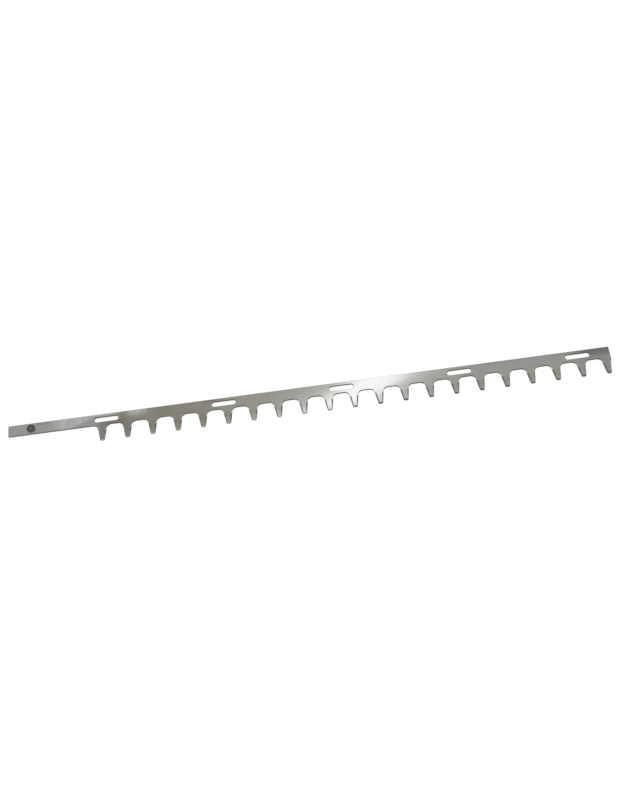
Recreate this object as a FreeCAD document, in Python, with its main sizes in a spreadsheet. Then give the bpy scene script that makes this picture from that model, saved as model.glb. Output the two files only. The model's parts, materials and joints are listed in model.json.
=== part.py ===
"""Single-sided hedge trimmer blade: one ground steel plate with a riveted drive pin.

Frame, in millimetres: the origin is on the drive pin's axis, on the flat mating face. +X runs along the
bar to the free end, the teeth point to -Y, and +Z is up, out of the face with the ground tooth flanks.
"""

import FreeCAD, Part
import math
import os
import Sketcher

# Driving dimensions: name, value in millimetres, degrees or pieces, and what it measures
DIMENSIONS = [
    ("plate_thickness", 2.5, "thickness of the steel plate"),
    ("bar_width", 16.6, "back edge to the bottom of the tooth gaps"),
    ("pin_to_shank_end", 32.0, "drive pin to the square end of the shank"),
    ("shank_corner_radius", 1.0, "corners of the shank's square end"),
    ("pin_to_first_tooth", 99.0, "drive pin to the centre of the first tooth"),
    ("tooth_pitch", 35.0, "one tooth to the next"),
    ("tooth_count", 21, "number of teeth"),
    ("tooth_length", 24.2, "bottom of the gaps to the tooth tips"),
    ("tip_width", 6.0, "tooth width at the tip, between the sharp corners"),
    ("flank_angle", 9.6, "lean of a flank from the tooth's centre line, degrees"),
    ("root_radius", 6.6, "round between a flank and the bottom of a gap"),
    ("tip_corner_radius", 1.8, "corners of the tooth tips in plan"),
    ("tip_ease_length", 7.0, "upper side of the tooth tips that is eased down"),
    ("tip_ease_radius", 110.0, "round that eases the tips down, seen from the side"),
    ("tip_edge_radius", 1.3, "upper edge of the tooth tips, after the easing"),
    ("free_end_land", 7.0, "last tooth's centre to the free end of the bar"),
    ("bevel_width", 2.1, "ground bevel of a flank, in plan, where it starts"),
    ("bevel_tip_width", 1.0, "the same bevel at the tip, where it is narrower"),
    ("edge_land", 0.4, "plate left under the start of a bevel as the cutting edge"),
    ("bevel_start", 5.5, "bottom of a gap to the start of its bevels"),
    ("bevel_run_out", 1.2, "plan radius at the cutting edge where a bevel starts"),
    ("pin_to_first_slot", 105.3, "drive pin to the centre of the first guide slot"),
    ("slot_spacing", 164.0, "one guide slot to the next"),
    ("slot_count", 5, "number of guide slots"),
    ("slot_length", 33.9, "guide slot, end to end"),
    ("slot_width", 7.5, "guide slot, side to side"),
    ("pin_head_diameter", 12.0, "head of the drive pin"),
    ("pin_head_height", 1.5, "head of the drive pin above the plate"),
    ("pin_head_chamfer", 0.3, "edge of the pin's head"),
    ("pin_dish_diameter", 5.0, "dished centre of the pin's head"),
    ("pin_dish_depth", 0.6, "depth of the dished centre"),
    ("pin_neck_diameter", 8.0, "neck of the pin, line to line with its hole"),
    ("pin_tail_diameter", 10.0, "tail of the pin, spread flush with the mating face"),
    ("pin_tail_depth", 1.0, "depth of the countersink that the tail fills"),
]
size = {name: value for name, value, _ in DIMENSIONS}

# Rules that more than one sketch is bound to
ROOT_Y = "-Size.bar_width / 2"
TIP_Y = "-Size.bar_width / 2 - Size.tooth_length"
GAP_X = "Size.pin_to_first_tooth - Size.tooth_pitch / 2"
GAP_HALF = "(Size.tooth_pitch - Size.tip_width) / 2"
BEVEL_START_Y = f"{ROOT_Y} - Size.bevel_start"
BEVEL_TIP_HALF = f"{GAP_HALF} + Size.bevel_tip_width / cos(Size.flank_angle)"
FLANK_RUN = "(Size.tooth_length - Size.bevel_start) * tan(Size.flank_angle)"
BEVEL_START_HALF = f"{GAP_HALF} - {FLANK_RUN} + Size.bevel_width / cos(Size.flank_angle)"

# The same places as numbers, where the sketches are first drawn
root_y = -size["bar_width"] / 2
tip_y = root_y - size["tooth_length"]
gap_x = size["pin_to_first_tooth"] - size["tooth_pitch"] / 2
gap_half = (size["tooth_pitch"] - size["tip_width"]) / 2
flank = math.radians(size["flank_angle"])
bevel_start_y = root_y - size["bevel_start"]
bevel_tip_half = gap_half + size["bevel_tip_width"] / math.cos(flank)
flank_run = (bevel_start_y - tip_y) * math.tan(flank)
bevel_start_half = gap_half - flank_run + size["bevel_width"] / math.cos(flank)
bevel_lean = math.atan2(bevel_tip_half - bevel_start_half, bevel_start_y - tip_y)

# Sketcher's names for the points of a line or an arc, and for the sketch's origin
START, END, CENTRE = 1, 2, 3
ORIGIN = (-1, 1)

doc = FreeCAD.newDocument("HedgeTrimmerBlade")


def fill_sheet():
    """The sheet of driving dimensions that every feature is bound to."""
    sheet = doc.addObject("Spreadsheet::Sheet", "Size")
    for row, (name, value, meaning) in enumerate(DIMENSIONS, start=1):
        sheet.set(f"A{row}", name)
        sheet.set(f"B{row}", str(value))
        sheet.set(f"C{row}", meaning)
        sheet.setAlias(f"B{row}", name)
    doc.recompute()


def new_body(name):
    body = doc.addObject("PartDesign::Body", name)
    body.Label = name
    body.Placement = FreeCAD.Placement()
    return body


def origin_feature(body, role):
    """A plane or an axis of the body's own origin."""
    return next(item for item in body.Origin.OriginFeatures if item.Role == role)


def new_sketch(body, name, plane):
    sketch = body.newObject("Sketcher::SketchObject", name)
    sketch.AttachmentSupport = [(origin_feature(body, plane), "")]
    sketch.MapMode = "FlatFace"
    return sketch


def line(sketch, start, end):
    segment = Part.LineSegment(FreeCAD.Vector(*start, 0), FreeCAD.Vector(*end, 0))
    return sketch.addGeometry(segment)


def arc(sketch, centre, radius, start_angle, end_angle):
    """An arc drawn anticlockwise from one angle to the other, in radians."""
    circle = Part.Circle(FreeCAD.Vector(*centre, 0), FreeCAD.Vector(0, 0, 1), radius)
    return sketch.addGeometry(Part.ArcOfCircle(circle, start_angle, end_angle))


def tie(sketch, kind, *where):
    """A constraint with no size, such as Tangent or Vertical."""
    sketch.addConstraint(Sketcher.Constraint(kind, *where))


def bind(sketch, kind, *where, value, rule):
    """A sized constraint, drawn at a value and bound to the sheet by a rule."""
    index = sketch.addConstraint(Sketcher.Constraint(kind, *where, value))
    sketch.setExpression(f"Constraints[{index}]", rule)


def bind_x(sketch, *point, value, rule):
    bind(sketch, "DistanceX", *ORIGIN, *point, value=value, rule=rule)


def bind_y(sketch, *point, value, rule):
    bind(sketch, "DistanceY", *ORIGIN, *point, value=value, rule=rule)


def feature(body, kind, name, sketch):
    made = body.newObject(f"PartDesign::{kind}", name)
    made.Profile = sketch
    return made


def must_cut(made, before):
    """Stops the build if a cutting feature missed the plate."""
    doc.recompute()
    if not made.Shape.Volume < before:
        raise RuntimeError(f"{made.Name} takes nothing away")


def repeat_along_bar(body, name, features, spacing, count):
    """Repeats features along X, with the spacing and the count bound to the sheet."""
    pattern = body.newObject("PartDesign::LinearPattern", name)
    pattern.Originals = features
    pattern.Direction = (origin_feature(body, "X_Axis"), [""])
    pattern.Mode = "Spacing"
    pattern.setExpression("Offset", spacing)
    pattern.setExpression("Occurrences", count)
    body.Tip = pattern
    doc.recompute()


def pad_blank(body):
    """The blank: the bar with its shank, and a strip along it that the teeth are cut from."""
    sketch = new_sketch(body, "BlankOutline", "XY_Plane")
    back_y = size["bar_width"] / 2
    shank_x = -size["pin_to_shank_end"]
    last_tooth_x = size["pin_to_first_tooth"] + (size["tooth_count"] - 1) * size["tooth_pitch"]
    free_x = last_tooth_x + size["free_end_land"]
    radius = size["shank_corner_radius"]
    inner_x = shank_x + radius

    back = line(sketch, (inner_x, back_y), (free_x, back_y))
    free_end = line(sketch, (free_x, back_y), (free_x, tip_y))
    tips = line(sketch, (free_x, tip_y), (gap_x, tip_y))
    step = line(sketch, (gap_x, tip_y), (gap_x, root_y))
    underside = line(sketch, (gap_x, root_y), (inner_x, root_y))
    shank_end = line(sketch, (shank_x, root_y + radius), (shank_x, back_y - radius))
    front_corner = arc(sketch, (inner_x, root_y + radius), radius, math.pi, 1.5 * math.pi)
    back_corner = arc(sketch, (inner_x, back_y - radius), radius, 0.5 * math.pi, math.pi)

    for before, after in ((back, free_end), (free_end, tips), (tips, step), (step, underside)):
        tie(sketch, "Coincident", before, END, after, START)
    tie(sketch, "Tangent", underside, END, front_corner, END)
    tie(sketch, "Tangent", front_corner, START, shank_end, START)
    tie(sketch, "Tangent", shank_end, END, back_corner, END)
    tie(sketch, "Tangent", back_corner, START, back, START)
    tie(sketch, "Equal", front_corner, back_corner)
    for level in (back, tips, underside):
        tie(sketch, "Horizontal", level)
    for upright in (free_end, step, shank_end):
        tie(sketch, "Vertical", upright)
    last_tooth = "Size.pin_to_first_tooth + (Size.tooth_count - 1) * Size.tooth_pitch"
    bind(sketch, "Radius", front_corner, value=radius, rule="Size.shank_corner_radius")
    bind_x(sketch, shank_end, START, value=shank_x, rule="-Size.pin_to_shank_end")
    bind_x(sketch, step, START, value=gap_x, rule=GAP_X)
    bind_x(sketch, free_end, START, value=free_x, rule=f"{last_tooth} + Size.free_end_land")
    bind_y(sketch, back, END, value=back_y, rule="Size.bar_width / 2")
    bind_y(sketch, underside, START, value=root_y, rule=ROOT_Y)
    bind_y(sketch, tips, START, value=tip_y, rule=TIP_Y)

    blank = feature(body, "Pad", "Blank", sketch)
    blank.setExpression("Length", "Size.plate_thickness")
    doc.recompute()


def guide_point(sketch, edge, x, x_rule, y, y_rule):
    """A construction point that a line passes through, or would if it were longer."""
    point = sketch.addGeometry(Part.Point(FreeCAD.Vector(x, y, 0)), True)
    tie(sketch, "PointOnObject", point, START, edge)
    bind_x(sketch, point, START, value=x, rule=x_rule)
    bind_y(sketch, point, START, value=y, rule=y_rule)


def flank_line(sketch, side, top, bottom):
    """One straight side of a gap, through the sharp corner that the tip width is measured to."""
    sign = "+" if side > 0 else "-"
    edge = line(sketch, top, bottom)
    guide_point(sketch, edge, gap_x + side * gap_half, f"{GAP_X} {sign} {GAP_HALF}", tip_y, TIP_Y)
    lean = -math.pi / 2 + side * flank
    bind(sketch, "Angle", edge, value=lean, rule=f"-90 {sign} Size.flank_angle")
    return edge


def bevel_line(sketch, side, top, bottom):
    """Upper edge of a bevel: inside the flank by the bevel's width at its start and at the tip."""
    sign = "+" if side > 0 else "-"
    edge = line(sketch, top, bottom)
    start_x = gap_x + side * bevel_start_half
    tip_x = gap_x + side * bevel_tip_half
    guide_point(sketch, edge, start_x, f"{GAP_X} {sign} ({BEVEL_START_HALF})", bevel_start_y, BEVEL_START_Y)
    guide_point(sketch, edge, tip_x, f"{GAP_X} {sign} ({BEVEL_TIP_HALF})", tip_y, TIP_Y)
    return edge


def round_corner(sketch, side, corner_x, level_y, radius, lean):
    """The round between a level line and a leaning line below it.

    Returns the arc, its end on the level line and its end on the leaning line.
    """
    tangent = radius / math.tan(math.pi / 4 + lean / 2)
    centre = (corner_x - side * tangent, level_y - radius)
    if side > 0:
        return arc(sketch, centre, radius, lean, math.pi / 2), END, START
    return arc(sketch, centre, radius, math.pi / 2, math.pi - lean), START, END


def round_tip(sketch, side):
    """The rounded tip corner of the tooth beside a gap.

    Returns the arc, its end on the flank and its end at the tip.
    """
    radius = size["tip_corner_radius"]
    tangent = radius / math.tan(math.pi / 4 + flank / 2)
    centre = (gap_x + side * (gap_half + tangent), tip_y + radius)
    if side > 0:
        return arc(sketch, centre, radius, math.pi + flank, 1.5 * math.pi), START, END
    return arc(sketch, centre, radius, 1.5 * math.pi, 2 * math.pi - flank), END, START


def point_of(sketch, edge, which):
    place = sketch.getPoint(edge, which)
    return place.x, place.y


def cut_gap(body):
    """The gap in front of the first tooth: round at its bottom corners and at the tips of the teeth."""
    sketch = new_sketch(body, "GapOutline", "XY_Plane")
    root_half = gap_half - size["tooth_length"] * math.tan(flank)
    mouth_y = tip_y - size["tip_corner_radius"]
    bottom_ends = []
    mouth_ends = []
    for side in (-1, 1):
        corner_x = gap_x + side * root_half
        fillet, level_end, top = round_corner(sketch, side, corner_x, root_y, size["root_radius"], flank)
        tip, bottom, tip_end = round_tip(sketch, side)
        edge = flank_line(sketch, side, point_of(sketch, fillet, top), point_of(sketch, tip, bottom))
        tip_x, _ = point_of(sketch, tip, tip_end)
        leave = line(sketch, (tip_x, tip_y), (tip_x, mouth_y))
        tie(sketch, "Tangent", fillet, top, edge, START)
        tie(sketch, "Tangent", edge, END, tip, bottom)
        tie(sketch, "Coincident", tip, tip_end, leave, START)
        tie(sketch, "Vertical", tip, CENTRE, tip, tip_end)
        tie(sketch, "Vertical", leave)
        bind(sketch, "Radius", fillet, value=size["root_radius"], rule="Size.root_radius")
        bind(sketch, "Radius", tip, value=size["tip_corner_radius"], rule="Size.tip_corner_radius")
        bind_y(sketch, tip, tip_end, value=tip_y, rule=TIP_Y)
        bottom_ends.append((fillet, level_end))
        mouth_ends.append((leave, END))
    root = line(sketch, *(point_of(sketch, *end) for end in bottom_ends))
    mouth = line(sketch, *(point_of(sketch, *end) for end in mouth_ends))
    for position, bottom_end, mouth_end in zip((START, END), bottom_ends, mouth_ends):
        tie(sketch, "Tangent", root, position, *bottom_end)
        tie(sketch, "Coincident", mouth, position, *mouth_end)
    tie(sketch, "Horizontal", root)
    tie(sketch, "Horizontal", mouth)
    bind_y(sketch, root, START, value=root_y, rule=ROOT_Y)
    bind_y(sketch, mouth, START, value=mouth_y, rule=f"{TIP_Y} - Size.tip_corner_radius")

    before = body.Shape.Volume
    gap = feature(body, "Pocket", "ToothGap", sketch)
    gap.Type = "ThroughAll"
    gap.Reversed = True
    must_cut(gap, before)
    return gap


def grind_flanks(body):
    """The bevels of one gap: a shallow pocket with sloping walls that run down to the cutting edges."""
    sketch = new_sketch(body, "BevelOutline", "XY_Plane")
    sketch.setExpression("AttachmentOffset.Base.z", "Size.plate_thickness")
    radius = size["bevel_width"] + size["bevel_run_out"]
    clear_y = tip_y - 2 * size["bevel_width"]
    clear_half = bevel_tip_half + (tip_y - clear_y) * math.tan(bevel_lean)
    start_ends = []
    clear_ends = []
    for side in (-1, 1):
        corner_x = gap_x + side * bevel_start_half
        run_out, level_end, top = round_corner(sketch, side, corner_x, bevel_start_y, radius, bevel_lean)
        bottom = (gap_x + side * clear_half, clear_y)
        edge = bevel_line(sketch, side, point_of(sketch, run_out, top), bottom)
        tie(sketch, "Tangent", run_out, top, edge, START)
        bind(sketch, "Radius", run_out, value=radius, rule="Size.bevel_width + Size.bevel_run_out")
        start_ends.append((run_out, level_end))
        clear_ends.append((edge, END))
    begin = line(sketch, *(point_of(sketch, *end) for end in start_ends))
    clear = line(sketch, *(point_of(sketch, *end) for end in clear_ends))
    for position, start_end, clear_end in zip((START, END), start_ends, clear_ends):
        tie(sketch, "Tangent", begin, position, *start_end)
        tie(sketch, "Coincident", clear, position, *clear_end)
    tie(sketch, "Horizontal", begin)
    tie(sketch, "Horizontal", clear)
    bind_y(sketch, begin, START, value=bevel_start_y, rule=BEVEL_START_Y)
    bind_y(sketch, clear, START, value=clear_y, rule=f"{TIP_Y} - 2 * Size.bevel_width")

    before = body.Shape.Volume
    bevels = feature(body, "Pocket", "FlankBevels", sketch)
    depth = "(Size.plate_thickness - Size.edge_land)"
    bevels.setExpression("Length", depth)
    bevels.setExpression("TaperAngle", f"-atan(Size.bevel_width / {depth})")
    must_cut(bevels, before)
    return bevels


def ease_tips(body):
    """The upper side of every tooth tip, eased down on a large round and then a small one, along the bar."""
    sketch = new_sketch(body, "TipSide", "YZ_Plane")
    top_z = size["plate_thickness"]
    large, small = size["tip_ease_radius"], size["tip_edge_radius"]
    start_y = tip_y + size["tip_ease_length"]
    turn = math.asin((size["tip_ease_length"] - small) / (large - small))
    edge_z = top_z - large + (large - small) * math.cos(turn)
    ease = arc(sketch, (start_y, top_z - large), large, math.pi / 2, math.pi / 2 + turn)
    edge = arc(sketch, (tip_y + small, edge_z), small, math.pi / 2 + turn, math.pi)
    front = line(sketch, (tip_y, edge_z), (tip_y, top_z))
    top = line(sketch, (tip_y, top_z), (start_y, top_z))
    tie(sketch, "Tangent", ease, END, edge, START)
    tie(sketch, "Tangent", edge, END, front, START)
    tie(sketch, "Coincident", front, END, top, START)
    tie(sketch, "Tangent", top, END, ease, START)
    tie(sketch, "Vertical", front)
    tie(sketch, "Horizontal", top)
    bind(sketch, "Radius", ease, value=large, rule="Size.tip_ease_radius")
    bind(sketch, "Radius", edge, value=small, rule="Size.tip_edge_radius")
    bind_x(sketch, top, START, value=tip_y, rule=TIP_Y)
    bind_y(sketch, top, START, value=top_z, rule="Size.plate_thickness")
    bind_x(sketch, top, END, value=start_y, rule=f"{TIP_Y} + Size.tip_ease_length")

    before = body.Shape.Volume
    tips = feature(body, "Pocket", "EasedTips", sketch)
    tips.SideType = "Two sides"
    tips.Type = "ThroughAll"
    tips.Type2 = "ThroughAll"
    must_cut(tips, before)


def cut_slots(body):
    """The guide slots, one cut and then repeated along the middle of the bar."""
    sketch = new_sketch(body, "SlotOutline", "XY_Plane")
    radius = size["slot_width"] / 2
    reach = size["slot_length"] / 2 - radius
    slot_x = size["pin_to_first_slot"]
    reach_rule = "(Size.slot_length - Size.slot_width) / 2"
    near = arc(sketch, (slot_x - reach, 0), radius, math.pi / 2, 1.5 * math.pi)
    far = arc(sketch, (slot_x + reach, 0), radius, -math.pi / 2, math.pi / 2)
    front = line(sketch, (slot_x - reach, -radius), (slot_x + reach, -radius))
    back = line(sketch, (slot_x + reach, radius), (slot_x - reach, radius))
    tie(sketch, "Tangent", near, END, front, START)
    tie(sketch, "Tangent", front, END, far, START)
    tie(sketch, "Tangent", far, END, back, START)
    tie(sketch, "Tangent", back, END, near, START)
    tie(sketch, "Equal", near, far)
    tie(sketch, "Horizontal", front)
    tie(sketch, "PointOnObject", near, CENTRE, -1)
    bind(sketch, "Radius", near, value=radius, rule="Size.slot_width / 2")
    bind_x(sketch, near, CENTRE, value=slot_x - reach, rule=f"Size.pin_to_first_slot - {reach_rule}")
    bind_x(sketch, far, CENTRE, value=slot_x + reach, rule=f"Size.pin_to_first_slot + {reach_rule}")

    before = body.Shape.Volume
    slot = feature(body, "Pocket", "GuideSlot", sketch)
    slot.Type = "ThroughAll"
    slot.Reversed = True
    must_cut(slot, before)
    repeat_along_bar(body, "GuideSlots", [slot], "Size.slot_spacing", "Size.slot_count")


def half_section(sketch, corners):
    """A closed half section beside the pin's axis. Each corner is (x, x rule, z, z rule)."""
    points = [(x, z) for x, _, z, _ in corners]
    lines = [line(sketch, a, b) for a, b in zip(points, points[1:] + points[:1])]
    for before, after in zip(lines, lines[1:] + lines[:1]):
        tie(sketch, "Coincident", before, END, after, START)
    for edge, (x, x_rule, z, z_rule) in zip(lines, corners):
        bind_x(sketch, edge, START, value=x, rule=x_rule)
        bind_y(sketch, edge, START, value=z, rule=z_rule)


def pin_corners():
    """Corners of the pin below its head, from its axis at the mating face to its neck at the upper face."""
    neck, neck_rule = size["pin_neck_diameter"] / 2, "Size.pin_neck_diameter / 2"
    tail, tail_rule = size["pin_tail_diameter"] / 2, "Size.pin_tail_diameter / 2"
    return [
        (0, "0", 0, "0"),
        (tail, tail_rule, 0, "0"),
        (neck, neck_rule, size["pin_tail_depth"], "Size.pin_tail_depth"),
        (neck, neck_rule, size["plate_thickness"], "Size.plate_thickness"),
    ]


def cut_pin_hole(body):
    """The pin's hole, countersunk in the mating face for the spread tail."""
    sketch = new_sketch(body, "PinHoleSection", "XZ_Plane")
    top = (0, "0", size["plate_thickness"], "Size.plate_thickness")
    half_section(sketch, pin_corners() + [top])
    before = body.Shape.Volume
    hole = feature(body, "Groove", "PinHole", sketch)
    hole.ReferenceAxis = (sketch, ["V_Axis"])
    must_cut(hole, before)


def make_blade():
    body = new_body("blade")
    pad_blank(body)
    gap = cut_gap(body)
    bevels = grind_flanks(body)
    gap_count = "Size.tooth_count + 1"
    repeat_along_bar(body, "TeethAndBevels", [gap, bevels], "Size.tooth_pitch", gap_count)
    ease_tips(body)
    cut_slots(body)
    cut_pin_hole(body)
    return body


def make_drive_pin():
    """A turned pin: low head with a dished centre, neck through the plate, tail in the countersink."""
    body = new_body("drive_pin")
    sketch = new_sketch(body, "PinSection", "XZ_Plane")
    head, head_rule = size["pin_head_diameter"] / 2, "Size.pin_head_diameter / 2"
    plate, plate_rule = size["plate_thickness"], "Size.plate_thickness"
    top = plate + size["pin_head_height"]
    top_rule = "Size.plate_thickness + Size.pin_head_height"
    chamfer = size["pin_head_chamfer"]
    dish = size["pin_dish_diameter"] / 2
    corners = pin_corners() + [
        (head, head_rule, plate, plate_rule),
        (head, head_rule, top - chamfer, f"{top_rule} - Size.pin_head_chamfer"),
        (head - chamfer, f"{head_rule} - Size.pin_head_chamfer", top, top_rule),
        (dish, "Size.pin_dish_diameter / 2", top, top_rule),
        (0, "0", top - size["pin_dish_depth"], f"{top_rule} - Size.pin_dish_depth"),
    ]
    half_section(sketch, corners)
    pin = feature(body, "Revolution", "Pin", sketch)
    pin.ReferenceAxis = (sketch, ["V_Axis"])
    doc.recompute()
    return body


def check(bodies):
    """Stops the build if any object failed, or a piece isn't one valid solid."""
    doc.recompute()
    for item in doc.Objects:
        if "Invalid" in item.State or "Error" in item.State:
            raise RuntimeError(f"{item.Name} failed: {item.State}")
    for body in bodies:
        shape = body.Shape
        if shape.isNull() or not shape.isValid() or len(shape.Solids) != 1:
            raise RuntimeError(f"{body.Label} is not one valid solid")


def write_parts(bodies):
    os.makedirs("parts", exist_ok=True)
    for body in bodies:
        body.Shape.exportStep(f"parts/{body.Label}.step")
        box = body.Shape.BoundBox
        print(f"{body.Label}: {box.XLength:.2f} x {box.YLength:.2f} x {box.ZLength:.2f} mm,", end=" ")
        print(f"{body.Shape.Volume:.1f} mm3, {len(body.Shape.Faces)} faces")


fill_sheet()
pieces = [make_blade(), make_drive_pin()]
check(pieces)
write_parts(pieces)
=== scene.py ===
"""Looks of a single-sided hedge trimmer blade: a ground steel plate with a blackened drive pin.

Everything is in metres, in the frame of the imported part: the origin is on the drive pin's axis, on the flat
mating face. +X runs along the bar to the free end, the teeth point to -Y and the bevelled face looks up.
"""

import json
import math

import bmesh
import bpy
from mathutils import Matrix, Vector


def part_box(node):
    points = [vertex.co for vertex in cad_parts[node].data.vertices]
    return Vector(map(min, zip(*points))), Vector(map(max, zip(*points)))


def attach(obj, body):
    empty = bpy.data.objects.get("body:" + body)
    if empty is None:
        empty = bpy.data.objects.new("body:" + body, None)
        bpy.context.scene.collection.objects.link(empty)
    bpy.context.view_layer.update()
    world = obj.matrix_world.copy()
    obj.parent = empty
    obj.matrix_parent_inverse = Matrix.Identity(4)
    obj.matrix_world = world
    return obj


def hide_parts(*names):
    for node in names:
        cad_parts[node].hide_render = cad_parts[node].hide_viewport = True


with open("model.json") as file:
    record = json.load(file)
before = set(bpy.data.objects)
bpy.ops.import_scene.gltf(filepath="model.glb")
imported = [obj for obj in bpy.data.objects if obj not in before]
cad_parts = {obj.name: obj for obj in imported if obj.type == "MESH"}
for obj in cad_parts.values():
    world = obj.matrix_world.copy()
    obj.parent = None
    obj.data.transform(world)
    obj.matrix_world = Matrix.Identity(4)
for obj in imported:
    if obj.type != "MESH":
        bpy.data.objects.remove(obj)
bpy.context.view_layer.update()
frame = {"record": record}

MM = 0.001
UP = Vector((0, 0, 1))

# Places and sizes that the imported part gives
mounts = {mount["name"]: mount for mount in frame["record"]["mounts"]}
blade_low, blade_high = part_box("blade")
THICKNESS = blade_high.z
SHANK_X = blade_low.x
FREE_X = blade_high.x
BACK_Y = blade_high.y
TIP_Y = blade_low.y
MIDDLE_SLOT_X = mounts["guide_slot_middle"]["pos_m"][0]
SLOT_SPACING = mounts["guide_slots_inner"]["dims"]["spacing_x_mm"] / 2 * MM
SLOT_RADIUS = mounts["guide_slot_middle"]["dims"]["hole_r_mm"] * MM
SLOT_LENGTH = mounts["guide_slot_middle"]["dims"]["slot_length_mm"] * MM
PIN_RADIUS = mounts["drive_pin"]["dims"]["r_mm"] * MM
PIN_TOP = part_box("drive_pin")[1].z

# Sizes of the blade that the record doesn't hold, as in the part's own sheet
TOOTH_COUNT = 21
TOOTH_PITCH = 35.0 * MM
FIRST_TOOTH_X = 99.0 * MM
BAR_WIDTH = 16.6 * MM
TIP_WIDTH = 6.0 * MM
FLANK_ANGLE = math.radians(9.6)
ROOT_RADIUS = 6.6 * MM
TIP_CORNER_RADIUS = 1.8 * MM
TIP_EDGE_RADIUS = 1.3 * MM
BEVEL_WIDTH = 2.1 * MM
BEVEL_TIP_WIDTH = 1.0 * MM
EDGE_LAND = 0.4 * MM
BEVEL_START = 5.5 * MM
BEVEL_RUN_OUT = 1.2 * MM
SHANK_CORNER_RADIUS = 1.0 * MM
SLOT_COUNT = 5
PIN_NECK_RADIUS = 4.0 * MM
PIN_TAIL_RADIUS = 5.0 * MM
PIN_TAIL_DEPTH = 1.0 * MM
PIN_DISH_RADIUS = 2.5 * MM
PIN_DISH_DEPTH = 0.6 * MM

# Small rounds that only show close up
EDGE_BREAK = 0.35 * MM
PIN_EDGE_ROUND = 0.4 * MM

# How the wheels leave the tips: each bevel a little flatter there, and the upper face eased down to the edge
BEVEL_TIP_FLATTENING = 0.28
TIP_EASE_LENGTH = 6.0 * MM
TIP_EASE_RADIUS = 900.0 * MM

# How far behind the roots the meshes of the teeth meet that of the bar
SEAM_DEPTH = 2.0 * MM

# Places that follow from those sizes
ROOT_Y = BACK_Y - BAR_WIDTH
SEAM_Y = ROOT_Y + SEAM_DEPTH
BEVEL_START_Y = ROOT_Y - BEVEL_START
BEVEL_SLOPE = (THICKNESS - EDGE_LAND) / BEVEL_WIDTH
EASE_TURN = math.asin((TIP_EASE_LENGTH - TIP_EDGE_RADIUS) / (TIP_EASE_RADIUS - TIP_EDGE_RADIUS))
TIP_EDGE_Z = THICKNESS - TIP_EASE_RADIUS * (1 - math.cos(EASE_TURN))
LAST_TOOTH_X = FIRST_TOOTH_X + (TOOTH_COUNT - 1) * TOOTH_PITCH
FREE_END_LAND = FREE_X - LAST_TOOTH_X
TEETH_START_X = FIRST_TOOTH_X - TOOTH_PITCH / 2

# Finishes that a face of the blade can have, and what tells them apart along an edge: the most that a broken
# corner rises, and how steeply a flank runs in plan and a wall stands up, as a share of its length
GROUND_FACE, GROUND_BEVEL, STAMPED_EDGE = 0, 1, 2
BROKEN_RISE = 1.5 * EDGE_BREAK
FLANK_STEEPNESS = 0.8
WALL_STEEPNESS = 0.9

# Points closer than this are one, and faces that meet at less than these angles are shaded as one round
SAME_PLACE = 0.001 * MM
BLADE_SMOOTH_ANGLE = math.radians(20)
PIN_SMOOTH_ANGLE = math.radians(25)


# Nodes, colours and objects

def add_node(tree, kind, inputs=None, **settings):
    """Adds a node with its settings, and fills its inputs with values or with links from other sockets."""
    node = tree.nodes.new(kind)
    for name, value in settings.items():
        setattr(node, name, value)
    for key, value in (inputs or {}).items():
        socket = node.inputs[key]
        if isinstance(value, bpy.types.NodeSocket):
            tree.links.new(value, socket)
        else:
            socket.default_value = value
    return node


def linear(hex_colour):
    """An sRGB hex colour such as #A0A0A0 as linear RGBA."""
    channels = [int(hex_colour[i:i + 2], 16) / 255 for i in (1, 3, 5)]
    return [c / 12.92 if c <= 0.04045 else ((c + 0.055) / 1.055) ** 2.4 for c in channels] + [1.0]


def add_object(name, data):
    """An object with this data, at the origin of the scene."""
    thing = bpy.data.objects.new(name, data)
    bpy.context.scene.collection.objects.link(thing)
    return thing


# Tooth outline

def flank_half_width(y):
    """Half the width of a tooth, between the lines of its flanks."""
    return TIP_WIDTH / 2 + (y - TIP_Y) * math.tan(FLANK_ANGLE)


def corner_tangent(radius, lean):
    """Length that a round takes from each side of the corner between a leaning and a level line."""
    return radius / math.tan(math.pi / 4 + lean / 2)


def on_circle(centre, radius, angle):
    """The place on a circle at an angle from its +X."""
    return Vector((centre[0] + radius * math.cos(angle), centre[1] + radius * math.sin(angle)))


def station(foot, wall_z, rim):
    """One cross line of an edge: foot on the mating face, top of the wall, halfway up, and rim."""
    wall = Vector((foot[0], foot[1], wall_z))
    return [Vector((foot[0], foot[1], 0)), wall, (wall + rim) / 2, rim]


def plain_edge(foot, inward):
    """An upright edge with its upper corner broken by a small round. Inward points into the plate."""
    wall_z = THICKNESS - EDGE_BREAK
    step = Vector((inward[0], inward[1], 1)) * EDGE_BREAK
    line = station(foot, wall_z, Vector((foot[0], foot[1], wall_z)) + step)

    # The round stands out from the middle of its chord by this share of its radius, outwards and upwards
    bulge = math.sqrt(0.5) - 0.5
    line[2] += Vector((-inward[0], -inward[1], 1)) * EDGE_BREAK * bulge
    return line


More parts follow.
